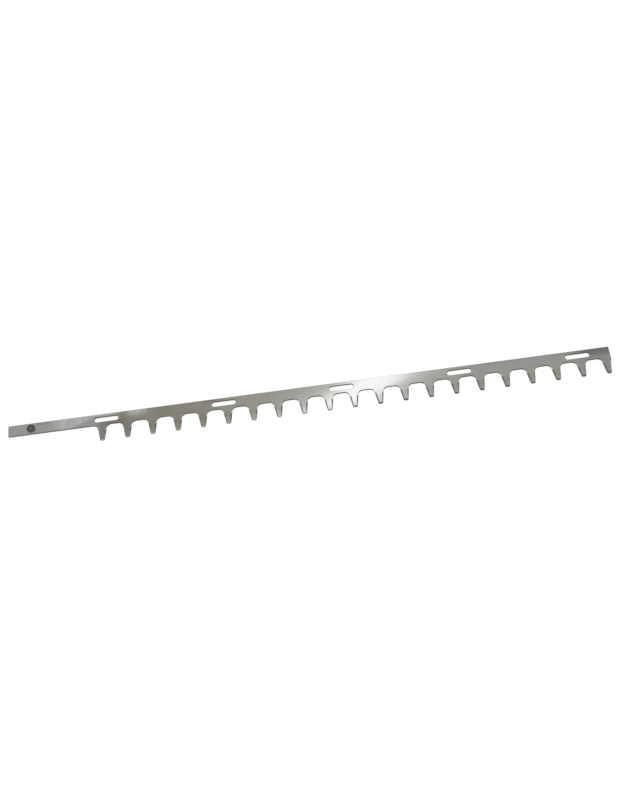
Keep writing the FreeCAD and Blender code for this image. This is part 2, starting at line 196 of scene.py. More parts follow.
class Bevel:
    """The ground bevel on the right side of a tooth.

    Its rim is a straight line that comes closer to the flank at the tip. At the start of the bevel the rim
    swings out to the flank on a round.
    """

    def __init__(self):
        self.tip_x = TIP_WIDTH / 2 - BEVEL_TIP_WIDTH / math.cos(FLANK_ANGLE)
        start_x = flank_half_width(BEVEL_START_Y) - BEVEL_WIDTH / math.cos(FLANK_ANGLE)
        self.lean = math.atan2(start_x - self.tip_x, BEVEL_START_Y - TIP_Y)
        self.inward = Vector((-math.cos(self.lean), math.sin(self.lean)))
        self.down = Vector((-math.sin(self.lean), -math.cos(self.lean)))
        self.swing = BEVEL_WIDTH + BEVEL_RUN_OUT
        self.centre = Vector((start_x + corner_tangent(self.swing, self.lean), BEVEL_START_Y - self.swing))

    def rim_x(self, y):
        """Place of the straight rim across the tooth."""
        return self.tip_x + (y - TIP_Y) * math.tan(self.lean)

    def slope(self, y):
        """Fall of the bevel for its width, which the wheel leaves a little flatter towards the tip."""
        way_down = min(max((self.centre.y - y) / (self.centre.y - TIP_Y), 0), 1)
        return BEVEL_SLOPE * (1 - BEVEL_TIP_FLATTENING * way_down)

    def width_at(self, foot):
        """Width of the bevel in plan at a foot on the flank, and the way from the foot to its rim."""
        reach = foot - self.centre
        if reach.dot(self.down) < 0:
            return self.swing - reach.length, reach.normalized()
        return self.swing - reach.dot(self.inward), self.inward

    def start_y(self):
        """Place down the tooth where the bevel first touches the flank."""
        flank_way = Vector((math.sin(FLANK_ANGLE), math.cos(FLANK_ANGLE)))
        reach = Vector((TIP_WIDTH / 2, TIP_Y)) - self.centre
        along = -reach.dot(flank_way)
        aside_squared = reach.length_squared - along ** 2
        return TIP_Y + (along + math.sqrt(self.swing ** 2 - aside_squared)) * flank_way.y

    def edge(self, y):
        """Cross line at a foot on the flank, from the upright land to the rim."""
        foot = Vector((flank_half_width(y), y))
        width, inward = self.width_at(foot)
        depth = width * self.slope(y)
        rim = Vector((foot.x, y, THICKNESS - depth)) + Vector((inward.x * width, inward.y * width, depth))
        return station(foot, THICKNESS - depth, rim)

    def tip_edge(self, y, top_z):
        """Cross line in the eased tip, straight across the tooth up to where the bevel meets the top."""
        foot_x = flank_half_width(y)
        rise = TIP_CORNER_RADIUS - (y - TIP_Y)
        if rise > TIP_CORNER_RADIUS * math.sin(FLANK_ANGLE):
            centre_x = TIP_WIDTH / 2 - corner_tangent(TIP_CORNER_RADIUS, FLANK_ANGLE)
            foot_x = centre_x + math.sqrt(max(TIP_CORNER_RADIUS ** 2 - rise ** 2, 0))
        across = self.slope(y) * math.cos(self.lean)
        crease_x = self.rim_x(y) + (THICKNESS - top_z) / across
        if crease_x >= foot_x:
            return station((foot_x, y), top_z, Vector((foot_x, y, top_z)))
        land_z = THICKNESS - (foot_x - self.rim_x(y)) * across
        return station((foot_x, y), land_z, Vector((crease_x, y, top_z)))


def tip_profile():
    """Side view of the eased tip, as places in y and z: a large round, then the small one of its edge."""
    edge_turn = math.pi / 2 + EASE_TURN
    ease_centre = (TIP_Y + TIP_EASE_LENGTH, THICKNESS - TIP_EASE_RADIUS)
    edge_centre = on_circle(ease_centre, TIP_EASE_RADIUS - TIP_EDGE_RADIUS, edge_turn)
    ease_steps, edge_steps = 14, 8
    places = []
    for i in range(ease_steps):
        places.append(on_circle(ease_centre, TIP_EASE_RADIUS, math.pi / 2 + EASE_TURN * i / ease_steps))
    for i in range(edge_steps + 1):
        turn = edge_turn + (math.pi - edge_turn) * i / edge_steps
        places.append(on_circle(edge_centre, TIP_EDGE_RADIUS, turn))
    return places


def tooth_side(seam_x):
    """Cross lines down the right side of a tooth, from the bar to the tip, about the tooth's centre line.

    Seam_x is half a pitch for a tooth with a gap beside it, and less where the bar ends beside the tooth.
    """
    # Bottom of the gap and its round corner, or the bar's end and what is left of that corner
    round_x = flank_half_width(ROOT_Y) + corner_tangent(ROOT_RADIUS, FLANK_ANGLE)
    centre = (round_x, ROOT_Y - ROOT_RADIUS)
    flank_turn = math.pi - FLANK_ANGLE
    if seam_x < round_x:
        first_turn = math.acos((seam_x - round_x) / ROOT_RADIUS)
        lines = [plain_edge((seam_x, SEAM_Y), (-1, 0)), plain_edge((seam_x, ROOT_Y), (-1, 0))]
    else:
        first_turn = math.pi / 2
        lines = [plain_edge((seam_x, ROOT_Y), (0, 1))]
    round_steps = 12
    for i in range(round_steps + 1):
        turn = first_turn + (flank_turn - first_turn) * i / round_steps
        lines.append(plain_edge(on_circle(centre, ROOT_RADIUS, turn), (math.cos(turn), math.sin(turn))))

    # Start of the bevel, then the straight flank down to the eased tip
    bevel = Bevel()
    start_y = bevel.start_y()
    full_y = bevel.centre.y
    flank_inward = (-math.cos(FLANK_ANGLE), math.sin(FLANK_ANGLE))
    lines.append(plain_edge((flank_half_width(start_y), start_y), flank_inward))
    swing_steps, flank_steps = 9, 4
    for i in range(1, swing_steps + 1):
        lines.append(bevel.edge(start_y + (full_y - start_y) * i / swing_steps))
    flank_stop = TIP_Y + TIP_EASE_LENGTH
    for i in range(1, flank_steps):
        lines.append(bevel.edge(full_y + (flank_stop - full_y) * i / flank_steps))

    # Eased tip
    lines += [bevel.tip_edge(y, z) for y, z in tip_profile()]
    return lines


# Meshes of the blade

def edge_finish(here, there, level):
    """Finish of one face between two cross lines of an edge.

    Bevels are ground, and the wheel also grinds the wall of the flank where it runs out; near the roots
    both carry a painted pale highlight. The rest stays as it was punched.
    """
    broken = there[-1].co.z - there[1].co.z < BROKEN_RISE
    if broken:
        along = there[0].co - here[0].co
        on_flank = here[0].co.y < ROOT_Y and abs(along.y) > FLANK_STEEPNESS * along.length
        return GROUND_BEVEL if on_flank and level == 0 else STAMPED_EDGE
    slope = there[level + 1].co - there[level].co
    upright = slope.length == 0 or abs(slope.z) > WALL_STEEPNESS * slope.length
    return STAMPED_EDGE if level == 0 or upright else GROUND_BEVEL


class Plate:
    """A mesh under construction, whose faces each carry a finish."""

    def __init__(self, name):
        self.name = name
        self.mesh = bmesh.new()
        self.finish = self.mesh.faces.layers.int.new("finish")

    def points(self, places):
        """New points of the mesh at these places."""
        return [self.mesh.verts.new(place) for place in places]

    def face(self, corners, finish):
        """A new face with its finish."""
        face = self.mesh.faces.new(corners)
        face[self.finish] = finish

    def edge_strip(self, lines, flip, closed=False):
        """Faces along an edge, between neighbouring cross lines."""
        following = lines[1:] + lines[:1] if closed else lines[1:]
        for here, there in zip(lines, following):
            for level in range(len(here) - 1):
                corners = [here[level], here[level + 1], there[level + 1], there[level]]
                self.face(corners[::-1] if flip else corners, edge_finish(here, there, level))

    def cap(self, loops, finish, up):
        """A flat face inside the first loop and outside the others."""
        edges = []
        for loop in loops:
            for here, there in zip(loop, loop[1:] + loop[:1]):
                edges.append(self.mesh.edges.get((here, there)) or self.mesh.edges.new((here, there)))
        filled = bmesh.ops.triangle_fill(self.mesh, edges=edges, use_beauty=True, normal=UP)
        for face in filled["geom"]:
            if isinstance(face, bmesh.types.BMFace):
                face.normal_update()
                if (face.normal.z > 0) != up:
                    face.normal_flip()
                face[self.finish] = finish

    def finished(self):
        """The mesh as an object, with doubled points merged."""
        bmesh.ops.remove_doubles(self.mesh, verts=self.mesh.verts, dist=SAME_PLACE)
        bmesh.ops.dissolve_degenerate(self.mesh, edges=self.mesh.edges, dist=SAME_PLACE)
        data = bpy.data.meshes.new(self.name)
        self.mesh.to_mesh(data)
        self.mesh.free()
        return add_object(self.name, data)


def mirrored(lines):
    """Cross lines of the left side of a tooth, from those of the right side."""
    return [[Vector((-p.x, p.y, p.z)) for p in line] for line in lines]


def make_tooth(name, right_seam_x):
    """One tooth with its share of the bar, open where the next tooth and the bar join on."""
    plate = Plate(name)
    left_seam_x = TOOTH_PITCH / 2
    at_bar_end = right_seam_x < left_seam_x
    left = [plate.points(line) for line in mirrored(tooth_side(left_seam_x))]
    right = [plate.points(line) for line in tooth_side(right_seam_x)]
    plate.edge_strip(left, flip=False)
    plate.edge_strip(right, flip=True)
    if at_bar_end:
        end_line = right.pop(0)
        right_seam = [end_line[-1], end_line[0]]
    else:
        right_seam = plate.points([(right_seam_x, SEAM_Y, THICKNESS), (right_seam_x, SEAM_Y, 0)])
    left_seam = plate.points([(-left_seam_x, SEAM_Y, THICKNESS), (-left_seam_x, SEAM_Y, 0)])

    # Piece of the bar, then the tooth, on the upper and the mating face
    for level, seam in ((-1, 0), (0, 1)):
        corners = [left_seam[seam], left[0][level], left[1][level]]
        corners += [right[1][level], right[0][level], right_seam[seam]]
        plate.face(corners if level else corners[::-1], GROUND_FACE)
        for i in range(1, len(left) - 1):
            corners = [left[i][level], left[i + 1][level], right[i + 1][level], right[i][level]]
            past_easing = level and left[i][level].co.z < TIP_EDGE_Z + SAME_PLACE
            finish = STAMPED_EDGE if past_easing else GROUND_FACE
            plate.face(corners if level else corners[::-1], finish)

    # Front of the tip
    plate.face([left[-1][0], right[-1][0], right[-1][1], left[-1][1]], STAMPED_EDGE)
    return plate.finished()


def slot_lines(slot_x):
    """Cross lines round a guide slot, anticlockwise."""
    reach = SLOT_LENGTH / 2 - SLOT_RADIUS
    half_turn_steps = 16
    lines = []
    for side in (1, -1):
        for i in range(half_turn_steps + 1):
            turn = math.pi * (i / half_turn_steps - 0.5 * side)
            foot = on_circle((slot_x + side * reach, 0), SLOT_RADIUS, turn)
            lines.append(plain_edge(foot, (math.cos(turn), math.sin(turn))))
    return lines


def pin_hole_lines():
    """Cross lines round the pin's hole, which widens to the mating face."""
    steps = 48
    lines = []
    for i in range(steps):
        turn = 2 * math.pi * i / steps
        tail = on_circle((0, 0), PIN_TAIL_RADIUS, turn)
        neck = on_circle((0, 0), PIN_NECK_RADIUS, turn)
        heights = (0, PIN_TAIL_DEPTH, (PIN_TAIL_DEPTH + THICKNESS) / 2, THICKNESS)
        lines.append([Vector((*(neck if z else tail), z)) for z in heights])
    return lines


def make_bar(name):
    """The shank and the back of the bar with the slots and the pin's hole, open where the teeth join on."""
    plate = Plate(name)
    corner_steps = 6
    outer = [plain_edge((TEETH_START_X, ROOT_Y), (0, 1))]
    corners = ((ROOT_Y + SHANK_CORNER_RADIUS, 1.5 * math.pi), (BACK_Y - SHANK_CORNER_RADIUS, math.pi))
    for corner_y, first_turn in corners:
        for i in range(corner_steps + 1):
            turn = first_turn - math.pi / 2 * i / corner_steps
            centre = (SHANK_X + SHANK_CORNER_RADIUS, corner_y)
            foot = on_circle(centre, SHANK_CORNER_RADIUS, turn)
            outer.append(plain_edge(foot, (-math.cos(turn), -math.sin(turn))))
    outer.append(plain_edge((FREE_X, BACK_Y), (-1, -1)))
    outer.append(plain_edge((FREE_X, SEAM_Y), (-1, 0)))
    outer = [plate.points(line) for line in outer]
    plate.edge_strip(outer, flip=True)

    first_slot_x = MIDDLE_SLOT_X - SLOT_SPACING * (SLOT_COUNT - 1) / 2
    holes = [slot_lines(first_slot_x + i * SLOT_SPACING) for i in range(SLOT_COUNT)]
    holes.append(pin_hole_lines())
    holes = [[plate.points(line) for line in lines] for lines in holes]
    for lines in holes:
        plate.edge_strip(lines, flip=True, closed=True)

    seam_x = [LAST_TOOTH_X - TOOTH_PITCH * (i + 0.5) for i in range(TOOTH_COUNT)]
    for level, z in ((-1, THICKNESS), (0, 0)):
        seam = plate.points([(x, SEAM_Y, z) for x in seam_x])
        loops = [[line[level] for line in outer] + seam]
        loops += [[line[level] for line in lines] for lines in holes]
        plate.cap(loops, GROUND_FACE, up=level == -1)
    return plate.finished()


def teeth_tree():
    """Geometry Nodes: repeats the tooth along the bar, adds the end tooth, and joins them to the bar."""
    tree = bpy.data.node_groups.new("teeth_along_bar", "GeometryNodeTree")
    sockets = (
        ("Bar", "NodeSocketGeometry"),
        ("Tooth", "NodeSocketObject"),
        ("End Tooth", "NodeSocketObject"),
        ("First Tooth", "NodeSocketFloat"),
        ("Tooth Pitch", "NodeSocketFloat"),
        ("Tooth Count", "NodeSocketInt"),
        ("Face Steel", "NodeSocketMaterial"),
        ("Bevel Steel", "NodeSocketMaterial"),
        ("Edge Steel", "NodeSocketMaterial"),
    )
    for name, kind in sockets:
        tree.interface.new_socket(name, in_out="INPUT", socket_type=kind)
    tree.interface.new_socket("Blade", in_out="OUTPUT", socket_type="NodeSocketGeometry")

    given = add_node(tree, "NodeGroupInput").outputs
    plain_count = add_node(tree, "ShaderNodeMath", {0: given["Tooth Count"], 1: 1}, operation="SUBTRACT")
    start = add_node(tree, "ShaderNodeCombineXYZ", {"X": given["First Tooth"]})
    step = add_node(tree, "ShaderNodeCombineXYZ", {"X": given["Tooth Pitch"]})
    places = add_node(tree, "GeometryNodeMeshLine", {
        "Count": plain_count.outputs[0],
        "Start Location": start.outputs[0],
        "Offset": step.outputs[0],
    })
    tooth = add_node(tree, "GeometryNodeObjectInfo", {"Object": given["Tooth"]})
    teeth = add_node(tree, "GeometryNodeInstanceOnPoints", {
        "Points": places.outputs["Mesh"],
        "Instance": tooth.outputs["Geometry"],
    })
    end_x = add_node(tree, "ShaderNodeMath", {
        0: given["Tooth Pitch"],
        1: plain_count.outputs[0],
        2: given["First Tooth"],
    }, operation="MULTIPLY_ADD")
    end_place = add_node(tree, "ShaderNodeCombineXYZ", {"X": end_x.outputs[0]})
    end_tooth = add_node(tree, "GeometryNodeObjectInfo", {"Object": given["End Tooth"]})
    end = add_node(tree, "GeometryNodeTransform", {
        "Geometry": end_tooth.outputs["Geometry"],
        "Translation": end_place.outputs[0],
    })
    joined = add_node(tree, "GeometryNodeJoinGeometry")
    for source in (given["Bar"], teeth.outputs[0], end.outputs[0]):
        tree.links.new(source, joined.inputs[0])
    solid = add_node(tree, "GeometryNodeRealizeInstances", {0: joined.outputs[0]})
    dressed = add_node(tree, "GeometryNodeMergeByDistance", {
        "Geometry": solid.outputs[0],
        "Distance": 2 * SAME_PLACE,
    }).outputs[0]
    finish = add_node(tree, "GeometryNodeInputNamedAttribute", {"Name": "finish"}, data_type="INT")
    steels = {GROUND_FACE: "Face Steel", GROUND_BEVEL: "Bevel Steel", STAMPED_EDGE: "Edge Steel"}
    for code, name in steels.items():

        # Sockets 2 and 3 are the two whole numbers that are compared
        chosen = add_node(tree, "FunctionNodeCompare", {
            2: finish.outputs["Attribute"],
            3: code,
        }, data_type="INT", operation="EQUAL")
        dressed = add_node(tree, "GeometryNodeSetMaterial", {
            "Geometry": dressed,
            "Selection": chosen.outputs[0],
            "Material": given[name],
        }).outputs[0]
    add_node(tree, "NodeGroupOutput", {"Blade": dressed})
    return tree


def make_blade(face_steel, bevel_steel, edge_steel):
    """The whole blade as one plain mesh."""
    bar = make_bar("bar")
    tooth = make_tooth("tooth", TOOTH_PITCH / 2)
    end_tooth = make_tooth("end_tooth", FREE_END_LAND)
    tree = teeth_tree()
    values = {
        "Tooth": tooth,
        "End Tooth": end_tooth,
        "First Tooth": FIRST_TOOTH_X,
        "Tooth Pitch": TOOTH_PITCH,
        "Tooth Count": TOOTH_COUNT,
        "Face Steel": face_steel,
        "Bevel Steel": bevel_steel,
        "Edge Steel": edge_steel,
    }
    modifier = bar.modifiers.new("teeth", "NODES")
    modifier.node_group = tree
    for socket in tree.interface.items_tree:
        if socket.name in values:
            modifier[socket.identifier] = values[socket.name]
    depsgraph = bpy.context.evaluated_depsgraph_get()
    data = bpy.data.meshes.new_from_object(bar.evaluated_get(depsgraph))
    for part in (bar, tooth, end_tooth):
        bpy.data.objects.remove(part)
    data.shade_smooth()
    data.set_sharp_from_angle(angle=BLADE_SMOOTH_ANGLE)
    return add_object("ground_blade", data)


def make_pin(steel):
    """The drive pin, turned about its axis, with its edges rounded."""
    edge_centre = (PIN_RADIUS - PIN_EDGE_ROUND, PIN_TOP - PIN_EDGE_ROUND)
    edge_steps = 5
    profile = [
        (0, 0),
        (PIN_TAIL_RADIUS, 0),
        (PIN_NECK_RADIUS, PIN_TAIL_DEPTH),
        (PIN_NECK_RADIUS, THICKNESS),
        (PIN_RADIUS, THICKNESS),
    ]
    for i in range(edge_steps + 1):
        profile.append(tuple(on_circle(edge_centre, PIN_EDGE_ROUND, math.pi / 2 * i / edge_steps)))
    profile += [(PIN_DISH_RADIUS, PIN_TOP), (0, PIN_TOP - PIN_DISH_DEPTH)]

    mesh = bmesh.new()
    points = [mesh.verts.new((radius, 0, z)) for radius, z in profile]
    edges = [mesh.edges.new(pair) for pair in zip(points, points[1:])]
    facets = 96
    bmesh.ops.spin(
        mesh, geom=points + edges, cent=(0, 0, 0), axis=UP, angle=2 * math.pi, steps=facets, use_merge=True
    )
    bmesh.ops.remove_doubles(mesh, verts=mesh.verts, dist=SAME_PLACE)
    bmesh.ops.recalc_face_normals(mesh, faces=mesh.faces)
    data = bpy.data.meshes.new("turned_drive_pin")
    mesh.to_mesh(data)
    mesh.free()
    data.materials.append(steel)
    data.shade_smooth()
    data.set_sharp_from_angle(angle=PIN_SMOOTH_ANGLE)
    return add_object("turned_drive_pin", data)


# Materials

def blank_material(name):
    """A material without nodes."""
    material = bpy.data.materials.new(name)
    material.use_nodes = True
    material.node_tree.nodes.clear()
    return material, material.node_tree


def new_steel(name):
    """A metal with its constant value set on the shader, ready for its patterns."""
    material = bpy.data.materials.new(name)
    material.use_nodes = True
    tree = material.node_tree
    shader = tree.nodes["Principled BSDF"]
    shader.inputs["Metallic"].default_value = 1.0
    place = add_node(tree, "ShaderNodeTexCoord").outputs["Object"]
    return material, tree, shader, place


def patch(tree, strength, *fades):
    """Share of a stain, painted highlight or painted reflection at a place: its strength, with a soft fade at
    each of its borders.

    A fade is an axis, the place in mm where the patch has gone and the place where it is full.
    """
    share = strength
    for axis, gone, full in fades:
        share = add_node(tree, "ShaderNodeMapRange", {
            "Value": axis, "From Min": gone * MM, "From Max": full * MM, "To Max": share,
        }, interpolation_type="SMOOTHSTEP").outputs[0]
    return share


def stains_and_painted_reflection(tree, place, hue, clean):
    """The colour of the ground face, with what use has left on its clean colour and a painted reflection.

    Sap has left a warm tarnish and dirt over the first teeth, a reflection is painted as brighter, cooler
    steel on the shank and along the back edge, and a dark film lies on the free end.
    """
    axis = add_node(tree, "ShaderNodeSeparateXYZ", {0: place}).outputs
    x, y = axis["X"], axis["Y"]

    # Blotches about 22 mm across
    blotch = add_node(tree, "ShaderNodeTexNoise", {
        "Vector": place, "Scale": 1 / (22 * MM), "Detail": 5.0, "Roughness": 0.6, "Distortion": 0.4,
    }).outputs["Fac"]
    patchy = add_node(tree, "ShaderNodeMapRange", {
        "Value": blotch, "From Min": 0.3, "From Max": 0.6, "To Min": 0.7, "To Max": 1.0,
    }).outputs[0]

    # Streaks about 8 mm wide across the bar, which break up the painted reflection
    crosswise = add_node(tree, "ShaderNodeMapping", {
        "Vector": place, "Scale": (1 / (8 * MM), 1 / (30 * MM), 1.0),
    })
    streak = add_node(tree, "ShaderNodeTexNoise", {
        "Vector": crosswise.outputs[0], "Scale": 1.0, "Detail": 3.0, "Roughness": 0.6, "Distortion": 0.3,
    }).outputs["Fac"]
    streaky = add_node(tree, "ShaderNodeMapRange", {
        "Value": streak, "From Min": 0.35, "From Max": 0.6, "To Min": 0.55, "To Max": 1.0,
    }).outputs[0]
    streaky_thin = add_node(tree, "ShaderNodeMath", {0: streaky, 1: 0.88}, operation="MULTIPLY").outputs[0]

    # Tarnish from the first to the seventh tooth, brown in some places and olive in others
    tarnish = patch(tree, patchy, (x, 88, 118), (x, 340, 200))
    sap = add_node(tree, "ShaderNodeMix", {
        "Factor": hue, "A": linear("#9F988D"), "B": linear("#9D9A8D"),
    }, data_type="RGBA").outputs["Result"]

    # Sap too thin to darken the steel, past the tarnish and along the front of the far half
    past_tarnish = patch(tree, 0.5, (x, 230, 285), (x, 400, 315))
    far_front = patch(tree, 0.3, (x, 540, 580), (x, 780, 700), (y, 3, -3))

    # Fresh olive sap on the fourth tooth
    fresh_sap = patch(tree, 0.45, (x, 180, 196), (x, 220, 206), (y, -5, -14))

    # Dirt caked beside the first two teeth, thinner dirt across the teeth, and smudges along the back edge
    caked = patch(tree, 0.5, (x, 86, 100), (x, 144, 126), (y, 3, -5))
    tooth_dirt = patch(tree, 0.25, (y, -24, -20), (y, -11, -15), (x, 420, 240))
    far_tooth_dirt = patch(tree, 0.17, (y, -30, -24), (y, -15, -20), (x, 590, 625), (x, 760, 735))
    back_dirt = patch(tree, 0.16, (x, 480, 560), (y, 2.5, 7))
    pin_smudge = patch(tree, 0.28, (x, 4, 10), (x, 30, 20), (y, 2, 5))
    slot_smudge = patch(tree, 0.4, (x, 236, 244), (x, 266, 256), (y, 3, 5))

    # Painted reflection: brighter, cooler steel from the pin to just past the first slot, mostly along the
    # back edge
    slanted = add_node(tree, "ShaderNodeMath", {0: y, 1: -2.5, 2: x}, operation="MULTIPLY_ADD").outputs[0]
    shank_reflection_painted = patch(tree, streaky, (x, 20, 50), (slanted, 80, 70))
    back_edge_reflection_painted = patch(tree, streaky, (x, 86, 98), (x, 130, 114), (y, 3.5, 6.5))
    reflection_spot_painted = patch(tree, streaky_thin, (x, 128, 143), (x, 168, 154), (y, -5, 6))

    # Dark film on the free end, heaviest along the back edge
    back_share = add_node(tree, "ShaderNodeMapRange", {
        "Value": y, "From Min": -8 * MM, "From Max": 3 * MM, "To Min": 0.27, "To Max": 0.70,
    }, interpolation_type="SMOOTHSTEP").outputs[0]
    film = patch(tree, back_share, (x, 745, 778))

    layers = (
        (sap, [tarnish]),
        (linear("#B4B0A2"), [past_tarnish, far_front]),
        (linear("#ABA686"), [fresh_sap]),
        (linear("#7C7A70"), [caked, tooth_dirt, far_tooth_dirt, back_dirt, pin_smudge, slot_smudge]),
        (linear("#D2D4D4"), [shank_reflection_painted, back_edge_reflection_painted, reflection_spot_painted]),
        (linear("#6E6E6D"), [film]),
    )
    colour = clean
    for tint, patches in layers:

        # Where patches of one tint meet, the heavier one counts
        share = patches[0]
        for other in patches[1:]:
            share = add_node(tree, "ShaderNodeMath", {0: share, 1: other}, operation="MAXIMUM").outputs[0]
        colour = add_node(tree, "ShaderNodeMix", {
            "Factor": share, "A": colour, "B": tint,
        }, data_type="RGBA").outputs["Result"]
    return colour


def surface_ground_steel():
    """Hardened steel strip, surface ground along its length: long fine lines give it a soft sheen."""
    material, tree, shader, place = new_steel("surface_ground_steel")

    # Grinding lines 1.4 mm apart and 120 mm long: real ones are ten times finer and would not show
    lengthwise = add_node(tree, "ShaderNodeMapping", {
        "Vector": place, "Scale": (1 / (120 * MM), 1 / (1.4 * MM), 1.0),
    })
    grind = add_node(tree, "ShaderNodeTexNoise", {
        "Vector": lengthwise.outputs[0], "Scale": 1.0, "Detail": 4.0, "Roughness": 0.7,
    }).outputs["Fac"]

    # Single scratches of the wheel 0.2 mm apart and 40 mm long, which show close up alone
    fine = add_node(tree, "ShaderNodeMapping", {
        "Vector": place, "Scale": (1 / (40 * MM), 1 / (0.2 * MM), 1.0),
    })
    scratch = add_node(tree, "ShaderNodeTexNoise", {
        "Vector": fine.outputs[0], "Scale": 1.0, "Detail": 2.0, "Roughness": 0.5,
    }).outputs["Fac"]

    # Drifts about 40 mm wide, from a warmer to a greener grey
    drift = add_node(tree, "ShaderNodeTexNoise", {
        "Vector": place, "Scale": 1 / (40 * MM), "Detail": 2.0, "Roughness": 0.5,
    }).outputs["Fac"]
    hue = add_node(tree, "ShaderNodeMapRange", {
        "Value": drift, "From Min": 0.4, "From Max": 0.6,
    }).outputs[0]
    grey = add_node(tree, "ShaderNodeMix", {
        "Factor": hue, "A": linear("#ABA8A4"), "B": linear("#A8AAA3"),
    }, data_type="RGBA").outputs["Result"]
    clean = add_node(tree, "ShaderNodeMix", {
        "Factor": grind, "A": grey, "B": linear("#BDBDB9"),
    }, data_type="RGBA").outputs["Result"]

    shade = add_node(tree, "ShaderNodeMapRange", {
        "Value": scratch, "From Min": 0.25, "From Max": 0.75, "To Min": 0.88, "To Max": 1.12,
    }).outputs[0]
    scratched = add_node(tree, "ShaderNodeVectorMath", {
        0: stains_and_painted_reflection(tree, place, hue, clean), 1: shade,
    }, operation="MULTIPLY")
    tree.links.new(scratched.outputs[0], shader.inputs["Base Color"])

    # The tips are scuffed a little duller
    roughness = add_node(tree, "ShaderNodeMapRange", {
        "Value": grind, "From Min": 0.3, "From Max": 0.7, "To Min": 0.07, "To Max": 0.095,
    }).outputs[0]
    y = add_node(tree, "ShaderNodeSeparateXYZ", {0: place}).outputs["Y"]
    scuffed = add_node(tree, "ShaderNodeMath", {
        0: patch(tree, 0.04, (y, -22, -27)), 1: roughness,
    }, operation="ADD")
    tree.links.new(scuffed.outputs[0], shader.inputs["Roughness"])

    relief = add_node(tree, "ShaderNodeBump", {"Height": scratch, "Distance": 0.001 * MM})
    tree.links.new(relief.outputs[0], shader.inputs["Normal"])
    return material


def crosswise_ground_steel():
    """The tooth flanks, ground across the edge with short coarse wheel marks.

    Sap has dulled them, and the corners at the roots, where the bevels run out, are painted pale as a
    highlight.
    """
    material, tree, shader, place = new_steel("crosswise_ground_steel")

    # Wheel marks 0.5 mm apart and 6 mm long, across the bevel: real ones are finer and would not show
    crosswise = add_node(tree, "ShaderNodeMapping", {
        "Vector": place, "Scale": (1 / (6 * MM), 1 / (0.5 * MM), 1.0),
    })
    marks = add_node(tree, "ShaderNodeTexNoise", {
        "Vector": crosswise.outputs[0], "Scale": 1.0, "Detail": 3.0, "Roughness": 0.6,
    }).outputs["Fac"]
    dulled = add_node(tree, "ShaderNodeMix", {
        "Factor": marks, "A": linear("#898987"), "B": linear("#9A9A98"),
    }, data_type="RGBA")

    y = add_node(tree, "ShaderNodeSeparateXYZ", {0: place}).outputs["Y"]
    # Painted highlight: bevels and flank walls near the roots get a pale colour
    painted_root_highlight = patch(tree, 1.0, (y, -15.5, -14))
    colour = add_node(tree, "ShaderNodeMix", {
        "Factor": painted_root_highlight, "A": dulled.outputs["Result"], "B": linear("#D0D0CE"),
    }, data_type="RGBA")
    tree.links.new(colour.outputs["Result"], shader.inputs["Base Color"])

    roughness = add_node(tree, "ShaderNodeMapRange", {"Value": marks, "To Min": 0.12, "To Max": 0.22})
    tree.links.new(roughness.outputs[0], shader.inputs["Roughness"])
    relief = add_node(tree, "ShaderNodeBump", {"Height": marks, "Distance": 0.003 * MM})
    tree.links.new(relief.outputs[0], shader.inputs["Normal"])
    return material


def stamped_edge_steel():
    """Edges left as they were punched: dull, dark from hardening, with fine upright shear marks.

    The tips of the first ten teeth are painted pale as a highlight.
    """
    material, tree, shader, place = new_steel("stamped_edge_steel")

    # Shear marks 0.6 mm apart, running through the plate
    upright = add_node(tree, "ShaderNodeMapping", {
        "Vector": place, "Scale": (1 / (0.6 * MM), 1 / (0.6 * MM), 1 / (4 * MM)),
    })
    shear = add_node(tree, "ShaderNodeTexNoise", {
        "Vector": upright.outputs[0], "Scale": 1.0, "Detail": 3.0, "Roughness": 0.6,
    }).outputs["Fac"]
    dark = add_node(tree, "ShaderNodeMix", {
        "Factor": shear, "A": linear("#565551"), "B": linear("#716F6A"),
    }, data_type="RGBA")

    axis = add_node(tree, "ShaderNodeSeparateXYZ", {0: place}).outputs
    # Painted highlight: pale colour on the tips of the first ten teeth
    painted_tip_highlight = patch(tree, 1.0, (axis["X"], 470, 400), (axis["Y"], -27, -30))
    colour = add_node(tree, "ShaderNodeMix", {
        "Factor": painted_tip_highlight, "A": dark.outputs["Result"], "B": linear("#B8B7B3"),
    }, data_type="RGBA")
    tree.links.new(colour.outputs["Result"], shader.inputs["Base Color"])

    roughness = add_node(tree, "ShaderNodeMapRange", {"Value": shear, "To Min": 0.36, "To Max": 0.56})
    tree.links.new(roughness.outputs[0], shader.inputs["Roughness"])
    relief = add_node(tree, "ShaderNodeBump", {"Height": shear, "Distance": 0.02 * MM})
    tree.links.new(relief.outputs[0], shader.inputs["Normal"])
    return material


